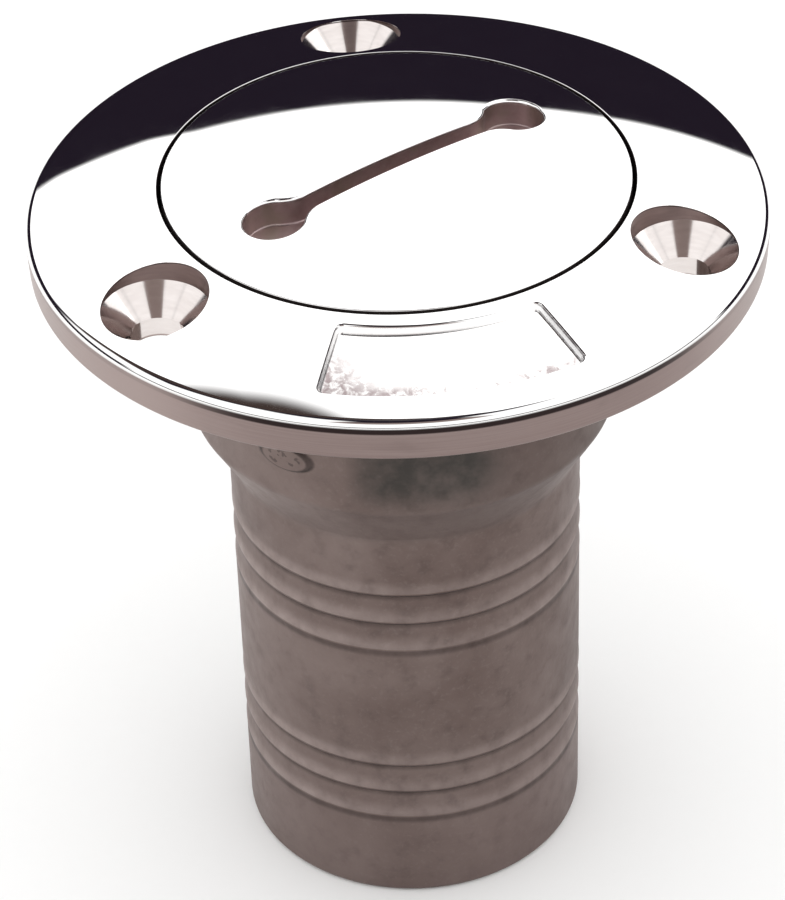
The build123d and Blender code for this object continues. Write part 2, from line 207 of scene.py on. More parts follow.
def cast_colours(t, coord, x, y, z, r):
    """As-cast stainless: warm grey, mottled at three sizes, with painted shade in the
    barbs' grooves and close under the flange, and painted light on the barbs' ramps."""
    big = t.noise(coord, 75.0, 3.0, 0.55, 0.3)
    mid = t.noise(coord, 420.0, 3.0, 0.6)
    fine = t.noise(coord, 1900.0, 2.0, 0.6)
    c = t.col(t.step(big, 0.30, 0.72), (0.142, 0.104, 0.094), (0.190, 0.146, 0.134))
    c = t.col(t.mul(t.step(mid, 0.50, 0.80), 0.50), c, (0.105, 0.078, 0.072))
    c = t.col(t.mul(t.step(fine, 0.48, 0.80), 0.22), c, (0.270, 0.222, 0.206))
    # painted light and shade: lighter to the left and on the taper, darker to the right
    c = t.col(t.ramp(x, -0.020, -0.004, 0.42, 0.0), c, (0.300, 0.238, 0.222))
    c = t.col(t.ramp(x, 0.004, 0.018, 0.0, 0.10), c, (0.240, 0.190, 0.180))
    taper = t.mul(t.step(z, -0.0262, -0.0232), t.inv(t.step(z, -0.0212, -0.0182)))
    c = t.col(t.mul(taper, 0.10), c, (0.300, 0.240, 0.225))
    c = t.col(t.mul(t.mul(t.step(z, -0.0270, -0.0180), t.ramp(x, -0.012, 0.010, 0.0, 1.0)), 0.30), c, (0.055, 0.041, 0.038))
    c = t.col(t.mul(t.inv(t.step(z, -0.0680, -0.0560)), t.ramp(x, -0.004, 0.014, 0.18, 0.34)), c, (0.270, 0.210, 0.200))
    # painted shade in the shelter of the flange, towards the front
    flange_shade = t.mul(t.mul(t.step(z, -0.0195, -0.0150), t.step(x, -0.0100, -0.0060)), t.inv(t.step(x, 0.0030, 0.0090)))
    flange_shade = t.mul(flange_shade, t.mul(t.inv(t.step(y, -0.0200, -0.0170)), t.ramp(mid, 0.30, 0.60, 0.65, 1.0)))
    c = t.col(t.mul(flange_shade, 0.78), c, (0.040, 0.041, 0.038))
    # barbs: painted shade as a dark line close under each crest, painted light on the ramps, brighter towards it
    for first in (-0.0323, -0.0562):
        drop = t.sub(first, z)
        here = t.mul(t.step(drop, -0.0001, 0.0), t.inv(t.step(drop, 0.0090, 0.0092)))
        here = t.mul(here, t.step(r, 0.0170, 0.0172))
        phase = t.math("MODULO", t.math("MAXIMUM", drop, 0.0), 0.0038)
        crest_shade = t.mul(t.step(phase, 0.00005, 0.00030), t.inv(t.step(phase, 0.00055, 0.00125)))
        crest_shade = t.mul(t.mul(crest_shade, here), t.ramp(mid, 0.25, 0.65, 0.45, 0.70))
        c = t.col(crest_shade, c, (0.062, 0.046, 0.043))
        # painted light: the ramps lighter towards each crest, more so on the left
        near = t.math("MODULO", t.math("MAXIMUM", t.add(drop, 0.0038), 0.0), 0.0038)
        lift = t.mul(t.step(near, 0.0018, 0.0035), t.mul(t.step(drop, -0.0026, -0.0008), t.inv(t.step(drop, 0.0076, 0.0078))))
        lift = t.mul(t.mul(lift, t.step(r, 0.0170, 0.0172)), t.add(t.ramp(x, -0.015, -0.004, 0.62, 0.26), t.ramp(x, 0.004, 0.012, 0.0, 0.16)))
        c = t.col(t.mul(lift, t.ramp(mid, 0.30, 0.70, 1.0, 0.55)), c, (0.420, 0.350, 0.330))
    # foundry pad: a dark outline, its face spotted
    turn = t.mul(t.sub(t.math("ARCTAN2", y, x), PAD_A), 22.5 / 3.2)
    lift = t.mul(t.sub(z, PAD_Z * MM), 1.0 / 0.00162)
    q = t.math("SQRT", t.add(t.mul(turn, turn), t.mul(lift, lift)))
    onneck = t.mul(t.step(r, 0.0222, 0.0224), t.mul(t.step(z, -0.0175, -0.0170), t.inv(t.step(z, -0.0095, -0.0090))))
    outline = t.mul(onneck, t.mul(t.step(q, 0.74, 0.86), t.inv(t.step(q, 0.98, 1.12))))
    c = t.col(t.mul(outline, 0.70), c, (0.042, 0.033, 0.031))
    spots = t.mul(t.mul(onneck, t.inv(t.step(q, 0.55, 0.70))), t.step(t.noise(coord, 1500.0, 1.0, 0.5), 0.54, 0.62))
    c = t.col(t.mul(spots, 0.55), c, (0.050, 0.038, 0.036))
    rough = t.add(t.ramp(mid, 0.3, 0.7, 0.46, 0.58), t.ramp(fine, 0.3, 0.7, -0.02, 0.02))
    height = t.add(t.mul(mid, 0.8), t.mul(fine, 0.2))
    return c, rough, height


def body_material():
    mat, t, bsdf, coord, x, y, z, r = material("cast stainless")
    # depth under the dome's surface, for the label's floor and the screw holes
    zc = t.sub(z, DOME_C)
    dist = t.math("SQRT", t.add(t.mul(zc, zc), t.mul(r, r)))
    under = t.sub(DOME_R, dist)
    outer = t.step(r, 0.02425, 0.02435)
    top = t.mul(t.step(z, 0.00355, 0.00372), outer)
    front = t.mul(t.inv(t.step(y, -0.0240, -0.0235)), t.inv(t.step(t.math("ABSOLUTE", x), 0.0148, 0.0150)))
    front = t.mul(front, t.mul(t.inv(t.step(r, 0.0350, 0.0351)), t.step(z, 0.0040, 0.0041)))
    label = t.mul(front, t.step(under, 0.00058, 0.00066))
    holes = t.mul(t.mul(t.inv(front), t.mul(outer, t.inv(t.step(r, 0.03635, 0.03645)))),
                  t.mul(t.step(under, 0.00003, 0.00008), t.step(z, 0.0001, 0.0003)))
    wall = t.mul(holes, t.step(z, 0.00483, 0.00487))
    below = t.mul(t.sub(1.0, t.step(z, -0.0002, 0.0001)), t.step(r, 0.0160, 0.0163))

    pc, pr = polished(t, coord)
    cc, cr, ch = cast_colours(t, coord, x, y, z, r)

    # satin rim band: fine turning lines round it, blotched here and there
    lines = t.noise(t.scaled(coord, (60.0, 60.0, 5200.0)), 1.0, 3.0, 0.6)
    blotch = t.noise(t.scaled(coord, (110.0, 110.0, 420.0)), 1.0, 3.0, 0.6, 0.4)
    sc = t.col(t.step(lines, 0.3, 0.7), (0.224, 0.168, 0.158), (0.256, 0.198, 0.186))
    sc = t.col(t.mul(t.step(blotch, 0.50, 0.75), 0.40), sc, (0.172, 0.128, 0.120))
    # painted light: it lightens round to the sides, more so on the left
    facing = t.math("DIVIDE", t.mul(y, -1.0), t.math("MAXIMUM", r, 0.001))
    flank_light = t.inv(t.step(facing, 0.62, 0.93))
    sc = t.col(t.mul(flank_light, t.ramp(x, -0.010, 0.010, 0.55, 0.32)), sc, (0.440, 0.355, 0.335))
    # painted dark reflection: a dark line under the polished edge, fading to the sides
    ring = t.mul(t.step(r, 0.0374, 0.0376), t.mul(t.step(z, 0.00300, 0.00320), t.inv(t.step(z, 0.00362, 0.00385))))
    ring = t.mul(ring, t.add(t.mul(t.step(facing, 0.66, 0.88), 0.82), 0.16))
    sr = t.ramp(lines, 0.3, 0.7, 0.30, 0.42)

    # screw holes: machined, the upper wall dull and the cone nearly bright
    tool = t.noise(t.scaled(coord, (500.0, 500.0, 3000.0)), 1.0, 2.0, 0.5)
    wc = t.col(tool, (0.235, 0.172, 0.164), (0.325, 0.248, 0.234))
    lip = t.mul(holes, t.inv(t.step(under, 0.00012, 0.00020)))
    hc = t.col(tool, (0.66, 0.60, 0.58), (0.80, 0.75, 0.73))

    # label floor: pale and lightly pitted, worst along its outer edge
    pits = t.noise(coord, 1150.0, 3.0, 0.6, 0.6)
    patch = t.noise(coord, 260.0, 2.0, 0.5)
    edge = t.mul(t.step(r, 0.0324, 0.0337), t.step(t.add(pits, t.mul(patch, 0.55)), 0.66, 0.98))
    corner = t.mul(t.step(t.sub(t.mul(x, -1.0), t.mul(t.add(y, 0.0310), 0.6)), 0.0058, 0.0112), t.step(pits, 0.30, 0.62))
    stain = t.math("MAXIMUM", t.mul(edge, 0.8), t.mul(corner, 0.85))
    slope = t.mul(front, t.step(under, 0.00008, 0.00018))
    lc = t.col(stain, (0.90, 0.885, 0.875), (0.27, 0.200, 0.205))

    colour = t.col(below, sc, cc)
    rough = t.mix(below, sr, cr)
    colour = t.col(top, colour, pc)
    rough = t.mix(top, rough, pr)
    colour = t.col(holes, colour, hc)
    rough = t.mix(holes, rough, 0.12)
    colour = t.col(wall, colour, wc)
    rough = t.mix(wall, rough, 0.42)
    colour = t.col(lip, colour, (0.075, 0.055, 0.055))
    rough = t.mix(slope, rough, 0.30)
    colour = t.col(label, colour, lc)
    ends = t.step(t.math("ABSOLUTE", x), 0.0096, 0.0100)
    head = t.mul(t.step(under, 0.00006, 0.00010), t.inv(t.step(under, 0.00018, 0.00026)))
    toe = t.mul(t.step(under, 0.00046, 0.00054), t.inv(t.step(under, 0.00060, 0.00066)))
    trace = t.mul(t.mul(front, t.math("MAXIMUM", head, t.mul(toe, 0.9))), t.mul(ends, t.ramp(pits, 0.3, 0.6, 0.55, 0.95)))
    colour = t.col(trace, colour, (0.060, 0.045, 0.048))
    rough = t.mix(label, rough, 0.20)
    # painted dark reflection under the polished edge
    colour = t.col(ring, colour, (0.022, 0.014, 0.014))
    rough = t.mix(ring, rough, 0.45)
    # wall of the gap round the cap: dull, with painted shade
    gap_shade = t.mul(t.inv(t.step(r, 0.02444, 0.02449)), t.step(z, 0.0006, 0.0010))
    colour = t.col(gap_shade, colour, (0.050, 0.036, 0.036))
    rough = t.mix(gap_shade, rough, 0.55)
    t.put(bsdf.inputs["Base Color"], colour)
    t.put(bsdf.inputs["Roughness"], rough)
    bsdf.inputs["Metallic"].default_value = 1.0

    height = t.add(t.mul(ch, below), t.mul(t.mul(pits, label), 0.10))
    t.put(bsdf.inputs["Normal"], t.bump(height, 0.00014, 0.42))
    return mat


def cap_material():
    mat, t, bsdf, coord, x, y, z, r = material("polished stainless")
    zc = t.sub(z, DOME_C)
    dist = t.math("SQRT", t.add(t.mul(zc, zc), t.mul(r, r)))
    under = t.sub(DOME_R, dist)
    # key recess: its eased rim is polished, its walls and floor are dull
    deep = t.step(under, 0.00034, 0.00045)
    pc, pr = polished(t, coord)
    grain = t.noise(coord, 1500.0, 3.0, 0.6)
    blot = t.noise(coord, 330.0, 2.0, 0.5)
    rc = t.col(grain, (0.40, 0.30, 0.30), (0.56, 0.455, 0.45))
    rc = t.col(t.mul(t.step(blot, 0.45, 0.70), 0.5), rc, (0.39, 0.35, 0.28))
    # outer wall, down in the gap: dull, with painted shade
    gap_shade = t.mul(t.step(r, 0.02391, 0.02395), t.step(under, 0.00004, 0.00009))
    colour = t.col(gap_shade, t.col(deep, pc, rc), t.col(grain, (0.135, 0.105, 0.102), (0.185, 0.150, 0.145)))
    t.put(bsdf.inputs["Base Color"], colour)
    t.put(bsdf.inputs["Roughness"], t.mix(gap_shade, t.mix(deep, pr, t.ramp(grain, 0.3, 0.7, 0.34, 0.48)), 0.48))
    bsdf.inputs["Metallic"].default_value = 1.0
    t.put(bsdf.inputs["Normal"], t.bump(t.mul(grain, deep), 0.00006, 0.4))
    return mat


def rubber_material():
    mat, t, bsdf, coord, x, y, z, r = material("seal rubber")
    n = t.noise(coord, 1800.0, 3.0, 0.6)
    t.put(bsdf.inputs["Base Color"], t.col(n, (0.012, 0.012, 0.013), (0.030, 0.029, 0.028)))
    t.put(bsdf.inputs["Roughness"], t.ramp(n, 0.3, 0.7, 0.50, 0.68))
    t.put(bsdf.inputs["Normal"], t.bump(n, 0.00005, 0.4))
    return mat


def steel_material(name, lo, hi, rough_lo, rough_hi):
    mat, t, bsdf, coord, x, y, z, r = material(name)
    n = t.noise(coord, 900.0, 3.0, 0.6)
    t.put(bsdf.inputs["Base Color"], t.col(n, lo, hi))
    t.put(bsdf.inputs["Roughness"], t.ramp(n, 0.3, 0.7, rough_lo, rough_hi))
    bsdf.inputs["Metallic"].default_value = 1.0
    t.put(bsdf.inputs["Normal"], t.bump(n, 0.00003, 0.25))
    return mat


def floor_material():
    mat, t, bsdf, coord, x, y, z, r = material("floor")
    n = t.noise(coord, 6.0, 4.0, 0.6)
    f = t.noise(coord, 700.0, 2.0, 0.5)
    c = t.col(n, (0.86, 0.86, 0.855), (0.90, 0.90, 0.895))
    t.put(bsdf.inputs["Base Color"], t.col(t.mul(f, 0.15), c, (0.82, 0.82, 0.815)))
    bsdf.inputs["Roughness"].default_value = 0.9
    bsdf.inputs["Specular IOR Level"].default_value = 0.1
    return mat


# ------------------------------------------------------------------ light
def make_world():
    """A dark studio with a large soft panel behind and above, another in front,
    seen only in the metal; everything matt is lit by an even pale sky."""
    world = bpy.data.worlds.new("studio")
    scene.world = world
    world.use_nodes = True
    t = Tree(world.node_tree)
    out = t.new("ShaderNodeOutputWorld")
    coord = t.new("ShaderNodeTexCoord").outputs["Generated"]
    norm = t.new("ShaderNodeVectorMath", operation="NORMALIZE")
    t.l.new(coord, norm.inputs[0])
    sep = t.new("ShaderNodeSeparateXYZ")
    t.l.new(norm.outputs[0], sep.inputs[0])
    x, y, z = sep.outputs
    deg = 180.0 / math.pi
    el = t.mul(t.math("ARCSINE", z), deg)
    az = t.mul(t.math("ARCTAN2", x, y), deg)                       # 0 towards +Y
    azf = t.mul(t.math("ARCTAN2", t.mul(x, -1.0), t.mul(y, -1.0)), deg)   # 0 towards -Y

    # panel behind: a crisp lower edge, its top edge sloping down to the left
    low = t.mul(t.math("MINIMUM", t.add(az, 16.0), 0.0), 0.20)
    top = t.math("MINIMUM", t.add(63.5, t.add(t.mul(t.add(az, 9.0), 0.5), low)), 79.0)
    dip = t.mul(t.step(az, -15.0, -11.5), t.inv(t.step(az, -6.5, -3.0)))
    foot = t.sub(t.sub(22.3, t.mul(dip, 1.0)), t.mul(t.step(az, 14.0, 28.0), 1.7))
    back = t.mul(t.step(t.sub(el, foot), -0.5, 0.5), t.inv(t.step(t.sub(el, top), -1.5, 1.5)))
    back = t.mul(back, t.mul(t.step(az, -52.0, -42.0), t.inv(t.step(az, 88.0, 96.0))))
    # panel in front: one low band right across, two wings above it
    side = t.math("ABSOLUTE", t.sub(azf, 6.0))
    span = t.mul(t.step(azf, -98.0, -90.0), t.inv(t.step(azf, 88.0, 95.0)))
    band = t.mul(t.step(el, 2.0, 9.0), t.inv(t.step(el, 40.0, 45.0)))
    wings = t.mul(t.mul(t.step(el, 39.0, 44.0), t.inv(t.step(el, 64.0, 72.0))), t.step(side, 24.0, 30.0))
    reach = t.mul(t.mul(t.step(el, 12.0, 18.0), t.inv(t.step(el, 42.0, 46.0))), t.mul(t.step(azf, 80.0, 86.0), t.inv(t.step(azf, 118.0, 126.0))))
    front = t.math("MAXIMUM", t.mul(t.math("MAXIMUM", band, wings), span), reach)
    # dull brown wall in the gap between the wings
    dull = t.mul(t.mul(t.step(el, 34.0, 40.0), t.inv(t.step(el, 56.0, 63.0))), t.inv(t.step(side, 30.0, 34.0)))
    # faint glow overhead
    zen = t.mul(t.step(el, 76.0, 90.0), 0.06)

    level = t.add(t.mul(back, 1.55), t.mul(front, 1.25))
    dark = t.col(dull, (0.0150, 0.0105, 0.0185), (0.285, 0.225, 0.210))
    dark = t.col(t.mul(t.step(t.sub(el, top), -1.5, 1.5), t.inv(t.step(t.math("ABSOLUTE", az), 60.0, 80.0))), dark, (0.055, 0.038, 0.034))
    dark = t.col(zen, dark, (1.0, 1.0, 1.0))
    studio = t.new("ShaderNodeBackground")
    t.put(studio.inputs["Color"], t.col(t.math("MINIMUM", level, 1.0), dark, (1.0, 1.0, 1.0)))
    t.put(studio.inputs["Strength"], t.math("MAXIMUM", level, 1.0))

    sky = t.new("ShaderNodeBackground")
    sky.inputs["Color"].default_value = (1.0, 1.0, 1.0, 1.0)
    sky.inputs["Strength"].default_value = 1.35
    path = t.new("ShaderNodeLightPath")
    mix = t.new("ShaderNodeMixShader")
    t.l.new(path.outputs["Is Glossy Ray"], mix.inputs[0])
    t.l.new(sky.outputs[0], mix.inputs[1])
    t.l.new(studio.outputs[0], mix.inputs[2])
    t.l.new(mix.outputs[0], out.inputs[0])


def make_floor():
    s = 3.0
    n = 24
    z = CAD_BOX[0][2] - 0.00002
    verts = [((i / n - 0.5) * 2 * s, (j / n - 0.5) * 2 * s, z) for j in range(n + 1) for i in range(n + 1)]
    faces = [(j * (n + 1) + i, j * (n + 1) + i + 1, (j + 1) * (n + 1) + i + 1, (j + 1) * (n + 1) + i) for j in range(n) for i in range(n)]
    me = bpy.data.meshes.new("floor")
    me.from_pydata(verts, [], faces)
    o = bpy.data.objects.new("floor", me)
    scene.collection.objects.link(o)
    me.materials.append(floor_material())


# ------------------------------------------------------------------ fine meshes
def dome_z(r, inset=0.0):
    return 9.5 - 142.0 + math.sqrt((142.0 - inset) ** 2 - r * r)


def corner_path(corners, steps=8):
    """Rounded polyline. corners: (r, z, radius). Returns samples
    (r, z, normal before, normal after); normals point to the left of travel."""
    out = []
    n = len(corners)
    for k, (r, z, rad) in enumerate(corners):
        p = Vector((r, z))
        din = (p - Vector(corners[k - 1][:2])).normalized() if k else None
        dout = (Vector(corners[k + 1][:2]) - p).normalized() if k < n - 1 else None
        na = Vector((-din.y, din.x)) if din else None
        nb = Vector((-dout.y, dout.x)) if dout else None
        if na is None or nb is None or rad <= 0.0:
            out.append((r, z, na or nb, nb or na))
            continue
        turn = math.acos(max(-1.0, min(1.0, din.dot(dout))))
        cut = rad * math.tan(turn / 2.0)
        a = p - din * cut
        side = 1.0 if din.x * dout.y - din.y * dout.x > 0.0 else -1.0
        c = a + na * (rad * side)
        m = max(3, int(steps * turn / 1.2) + 2)
        for i in range(m + 1):
            t = side * turn * i / m
            v = (a - c)
            q = c + Vector((v.x * math.cos(t) - v.y * math.sin(t), v.x * math.sin(t) + v.y * math.cos(t)))
            nn = Vector((na.x * math.cos(t) - na.y * math.sin(t), na.x * math.sin(t) + na.y * math.cos(t)))
            out.append((q.x, q.y, nn.copy(), nn.copy()))
    return out


def dome_edge(radius, wall_r, draft, inside):
    """Round between the dome and a side wall: its centre.
    The wall is the line from (wall_r, dome) down with the given draft."""
    if inside:
        rc = wall_r + radius
        zc = 9.5 - 142.0 + math.sqrt((142.0 - radius) ** 2 - rc * rc)
        return rc, zc
    lo, hi = wall_r - 3.0 * radius, wall_r
    nrm = Vector((math.cos(draft), -math.sin(draft)))
    on = Vector((wall_r, dome_z(wall_r)))
    for _ in range(60):
        rc = (lo + hi) / 2.0
        zc = 9.5 - 142.0 + math.sqrt((142.0 - radius) ** 2 - rc * rc)
        if (on - Vector((rc, zc))).dot(nrm) > radius:
            lo = rc
        else:
            hi = rc
    return rc, zc


def finish_mesh(name, verts, faces, loop_normals, smooth=True):
    """Mesh in metres from millimetres, with its exact corner normals kept in
    an attribute so that cuts keep them."""
    me = bpy.data.meshes.new(name)
    me.from_pydata([(x * MM, y * MM, z * MM) for x, y, z in verts], [], faces)
    me.polygons.foreach_set("use_smooth", [True] * len(me.polygons))
    att = me.attributes.new("exact", "FLOAT_VECTOR", "CORNER")
    flat = []
    for f in loop_normals:
        for nn in f:
            flat.extend(nn)
    att.data.foreach_set("vector", flat)
    me.update()
    return me


def revolve_mesh(name, samples, thetas, closed, height=None, push=None):
    """Turned surface. height(x, y) sinks dome points, push(theta, z) moves
    neck points outwards; both in millimetres."""
    nt = len(thetas)
    verts, index = [], {}
    full = closed

    def point(k, j):
        r, z = samples[k][0], samples[k][1]
        a = thetas[j]
        x, y = r * math.cos(a), r * math.sin(a)
        if height is not None and samples[k][4]:
            z -= height(x, y)
        if push is not None and samples[k][5]:
            d = push(a, z)
            x, y = (r + d) * math.cos(a), (r + d) * math.sin(a)
        return x, y, z

    for k in range(len(samples)):
        if samples[k][0] < 1e-9:
            index[k] = [len(verts)] * nt
            verts.append((0.0, 0.0, samples[k][1]))
            continue
        row = []
        for j in range(nt):
            row.append(len(verts))
            verts.append(point(k, j))
        index[k] = row

    def normal(k, j, side):
        nn = samples[k][side]
        a = thetas[j]
        x, y, z = nn.x * math.cos(a), nn.x * math.sin(a), nn.y
        if height is not None and samples[k][4]:
            px, py, _ = point(k, j)
            e = 0.01
            if height(px, py) > 0.0 or height(px + 0.1, py) > 0.0 or height(px - 0.1, py) > 0.0 or height(px, py - 0.1) > 0.0 or height(px, py + 0.1) > 0.0:
                gx = (height(px + e, py) - height(px - e, py)) / (2 * e)
                gy = (height(px, py + e) - height(px, py - e)) / (2 * e)
                w = Vector((x, y, z))
                v = Vector((x / z + gx, y / z + gy, 1.0)).normalized()
                return v.x, v.y, v.z
        if push is not None and samples[k][5]:
            e = 0.01
            r = samples[k][0]
            zz = samples[k][1]
            if any(push(a + i * 0.01, zz + m * 0.1) > 0.0 for i in (-1, 0, 1) for m in (-1, 0, 1)):
                ga = (push(a + e / r, zz) - push(a - e / r, zz)) / (2 * e)
                gz = (push(a, zz + e) - push(a, zz - e)) / (2 * e)
                v = Vector((1.0, -ga, -gz)).normalized()
                return v.x * math.cos(a) - v.y * math.sin(a), v.x * math.sin(a) + v.y * math.cos(a), v.z
        return x, y, z

    faces, loops = [], []
    m = len(samples)
    cache = {}

    def cached(k, j, side):
        key = (k, j, side)
        if key not in cache:
            cache[key] = normal(k, j, side)
        return cache[key]

    for k in range(m if full else m - 1):
        k2 = (k + 1) % m
        if math.hypot(samples[k][0] - samples[k2][0], samples[k][1] - samples[k2][1]) < 1e-7:
            continue
        for j in range(nt):
            j2 = (j + 1) % nt
            quad = [(k, j, 3), (k, j2, 3), (k2, j2, 2), (k2, j, 2)]
            f, l, seen = [], [], set()
            for kk, jj, s in quad:
                v = index[kk][jj]
                if v in seen:
                    continue
                seen.add(v)
                f.append(v)
                l.append(cached(kk, jj, s))
            if len(f) > 2:
                faces.append(f)
                loops.append(l)
    return finish_mesh(name, verts, faces, loops)


def cut(target, cutter):
    """Take the cutter away from the target, exactly; both are meshes."""
    a = bpy.data.objects.new("a", target)
    b = bpy.data.objects.new("b", cutter)
    scene.collection.objects.link(a)
    scene.collection.objects.link(b)
    mod = a.modifiers.new("cut", "BOOLEAN")
    mod.operation = "DIFFERENCE"
    mod.solver = "EXACT"
    mod.object = b
    bpy.context.view_layer.update()
    me = bpy.data.meshes.new_from_object(a.evaluated_get(bpy.context.evaluated_depsgraph_get()))
    bpy.data.objects.remove(a)
    bpy.data.objects.remove(b)
    return me


def set_normals(me):
    """Use the exact corner normals; where a cut lost one, the face's own."""
    n = len(me.loops)
    flat = [0.0] * (3 * n)
    me.attributes["exact"].data.foreach_get("vector", flat)
    out = [None] * n
    bad = 0
    for poly in me.polygons:
        for li in poly.loop_indices:
            v = Vector(flat[3 * li:3 * li + 3])
            if v.length < 0.3:
                v = poly.normal.copy()
                bad += 1
            else:
                v.normalize()
                if v.dot(poly.normal) < 0.2:
                    v = poly.normal.copy()
                    bad += 1
            out[li] = v
    print("normals", me.name, n, "lost", bad)
    me.polygons.foreach_set("use_smooth", [True] * len(me.polygons))
    me.normals_split_custom_set(out)
    me.attributes.remove(me.attributes["exact"])


def hole_cutter(r0, deg):
    seg = 96
    low = 4.85 - (5.42 - 2.7)
    s2 = math.sqrt(0.5)
    prof = [(0.0, -3.0, Vector((0, 1)), Vector((0, 1))), (2.7, -3.0, Vector((0, 1)), Vector((-1, 0))),
            (2.7, low, Vector((-1, 0)), Vector((-s2, s2))), (5.42, 4.85, Vector((-s2, s2)), Vector((-1, 0))),
            (5.42, 9.0, Vector((-1, 0)), Vector((0, -1))), (0.0, 9.0, Vector((0, -1)), Vector((0, -1)))]
    cx, cy = r0 * math.cos(math.radians(deg)), r0 * math.sin(math.radians(deg))
    me = revolve_mesh("hole", [p + (False, False) for p in prof], [2 * math.pi * j / seg for j in range(seg)], False)
    for v in me.vertices:
        v.co.x += cx * MM
        v.co.y += cy * MM
    return me


def key_cutter():
    """Dumb-bell cutter: its floor follows the dome, its rim is eased."""
    pr, pc, w, fl = 3.1, 15.3, 1.1, 1.9
    u1, v1 = pc - pr * 0.62, math.sqrt(pr * pr - (pr * 0.62) ** 2)
    u2 = pc - pr - fl
    um, vm = u1 * 0.62 + u2 * 0.38, w + (v1 - w) * 0.30
    # circle through (u2, w), (um, vm), (u1, v1)
    ax, ay, bx, by, cx, cy = u2, w, um, vm, u1, v1
    d = 2 * (ax * (by - cy) + bx * (cy - ay) + cx * (ay - by))
    ox = ((ax * ax + ay * ay) * (by - cy) + (bx * bx + by * by) * (cy - ay) + (cx * cx + cy * cy) * (ay - by)) / d
    oy = ((ax * ax + ay * ay) * (cx - bx) + (bx * bx + by * by) * (ax - cx) + (cx * cx + cy * cy) * (bx - ax)) / d
    orad = math.hypot(ax - ox, ay - oy)
    half = []                                     # (u, v, nu, nv), the normal out of the recess
    for i in range(9):
        half.append((u2 * i / 9.0, w, 0.0, 1.0))
    a0, a1 = math.atan2(ay - oy, ax - ox), math.atan2(cy - oy, cx - ox)
    for i in range(11):
        a = a0 + (a1 - a0) * i / 10.0
        u, v = ox + orad * math.cos(a), oy + orad * math.sin(a)
        half.append((u, v, (ox - u) / orad, (oy - v) / orad))
    b0 = math.atan2(v1, u1 - pc)
    for i in range(1, 41):
        a = b0 * (1.0 - i / 40.0)
        half.append((pc + pr * math.cos(a), pr * math.sin(a), math.cos(a), math.sin(a)))
    top = [(-u, v, -nu, nv) for u, v, nu, nv in reversed(half[1:])] + half      # left tip to right tip
    n = len(top)
    ring = top + [(u, -v, nu, -nv) for u, v, nu, nv in reversed(top[1:-1])]
    m = len(ring)
    rho = 0.38
    lev = [(rho * (1 - math.sin(math.radians(14))), -0.9, 90.0)]
    for a in (14, 27, 40, 53, 66, 79, 90):
        lev.append((rho * (1 - math.sin(math.radians(a))), rho * (1 - math.cos(math.radians(a))), float(a)))
    lev.append((0.0, 2.85, 90.0))
    lev.append((-0.15, 3.0, 90.0))
    ca, sa = math.cos(math.radians(28.0)), math.sin(math.radians(28.0))
    verts = []
    for o, dp, _ in lev:
        for u, v, nu, nv in ring:
            uu, vv = u + nu * o, v + nv * o
            x, y = uu * ca - vv * sa, uu * sa + vv * ca
            verts.append((x, y, dome_z(math.hypot(x, y), dp) if dp > 0 else dome_z(math.hypot(x, y)) - dp))
    faces, loops = [], []

    def nrm(i, ang):
        u, v, nu, nv = ring[i % m]
        a = math.radians(ang)
        k = -math.sin(a)
        return ((nu * ca - nv * sa) * k, (nu * sa + nv * ca) * k, math.cos(a))

    for k in range(len(lev) - 1):
        top_a, low_a = lev[k][2], lev[k + 1][2]
        if k == 0:
            top_a = low_a = 90.0
        if k == len(lev) - 2:
            top_a, low_a = 70.0, 20.0
        for i in range(m):
            i2 = (i + 1) % m
            faces.append([k * m + i, (k + 1) * m + i, (k + 1) * m + i2, k * m + i2])
            loops.append([nrm(i, top_a), nrm(i, low_a), nrm(i2, low_a), nrm(i2, top_a)])
    # strips across: floor and lid
    for k, up in ((len(lev) - 1, 1.0), (0, -1.0)):
        base = k * m
        for i in range(n - 1):
            a, b = i, i + 1
            c, e = (m - b) % m, (m - a) % m
            f = [a, e, c, b] if up > 0 else [a, b, c, e]
            g = []
            for q in f:
                if q not in g:
                    g.append(q)
            faces.append([base + q for q in g])
            loops.append([(0.0, 0.0, up)] * len(g))
    # this surface faces into the recess, so turn it inside out for the cut
    faces = [list(reversed(f)) for f in faces]
    loops = [list(reversed(l)) for l in loops]
    return finish_mesh("key", verts, faces, loops)


def ridge_mesh(r_root, r_crest, z0, z1, phase):
    seg = 96
    turns = (z1 - z0) / 3.0
    n = int(turns * seg)
    d = r_crest - r_root
    sunk = -0.3 if d > 0 else 0.3
    sec = [(r_root + sunk, -0.8), (r_root, -0.8), (r_crest, -0.4), (r_crest, 0.4), (r_root, 0.8), (r_root + sunk, 0.8)]
    verts, faces = [], []
    for i in range(n + 1):
        a = math.radians(phase) + 2 * math.pi * turns * i / n
        z = z0 + (z1 - z0) * i / n
        for r, dz in sec:
            verts.append((r * math.cos(a), r * math.sin(a), z + dz))
    m = len(sec)
    flip = d < 0
    for i in range(n):
        for k in range(m):
            k2 = (k + 1) % m
            f = [i * m + k, (i + 1) * m + k, (i + 1) * m + k2, i * m + k2]
            faces.append(f if not flip else list(reversed(f)))
    a, b = [k for k in range(m)], [n * m + k for k in reversed(range(m))]
    faces += [a, b] if not flip else [list(reversed(a)), list(reversed(b))]
    me = bpy.data.meshes.new("ridge")
    me.from_pydata([(x * MM, y * MM, z * MM) for x, y, z in verts], [], faces)
    me.update()
    return me


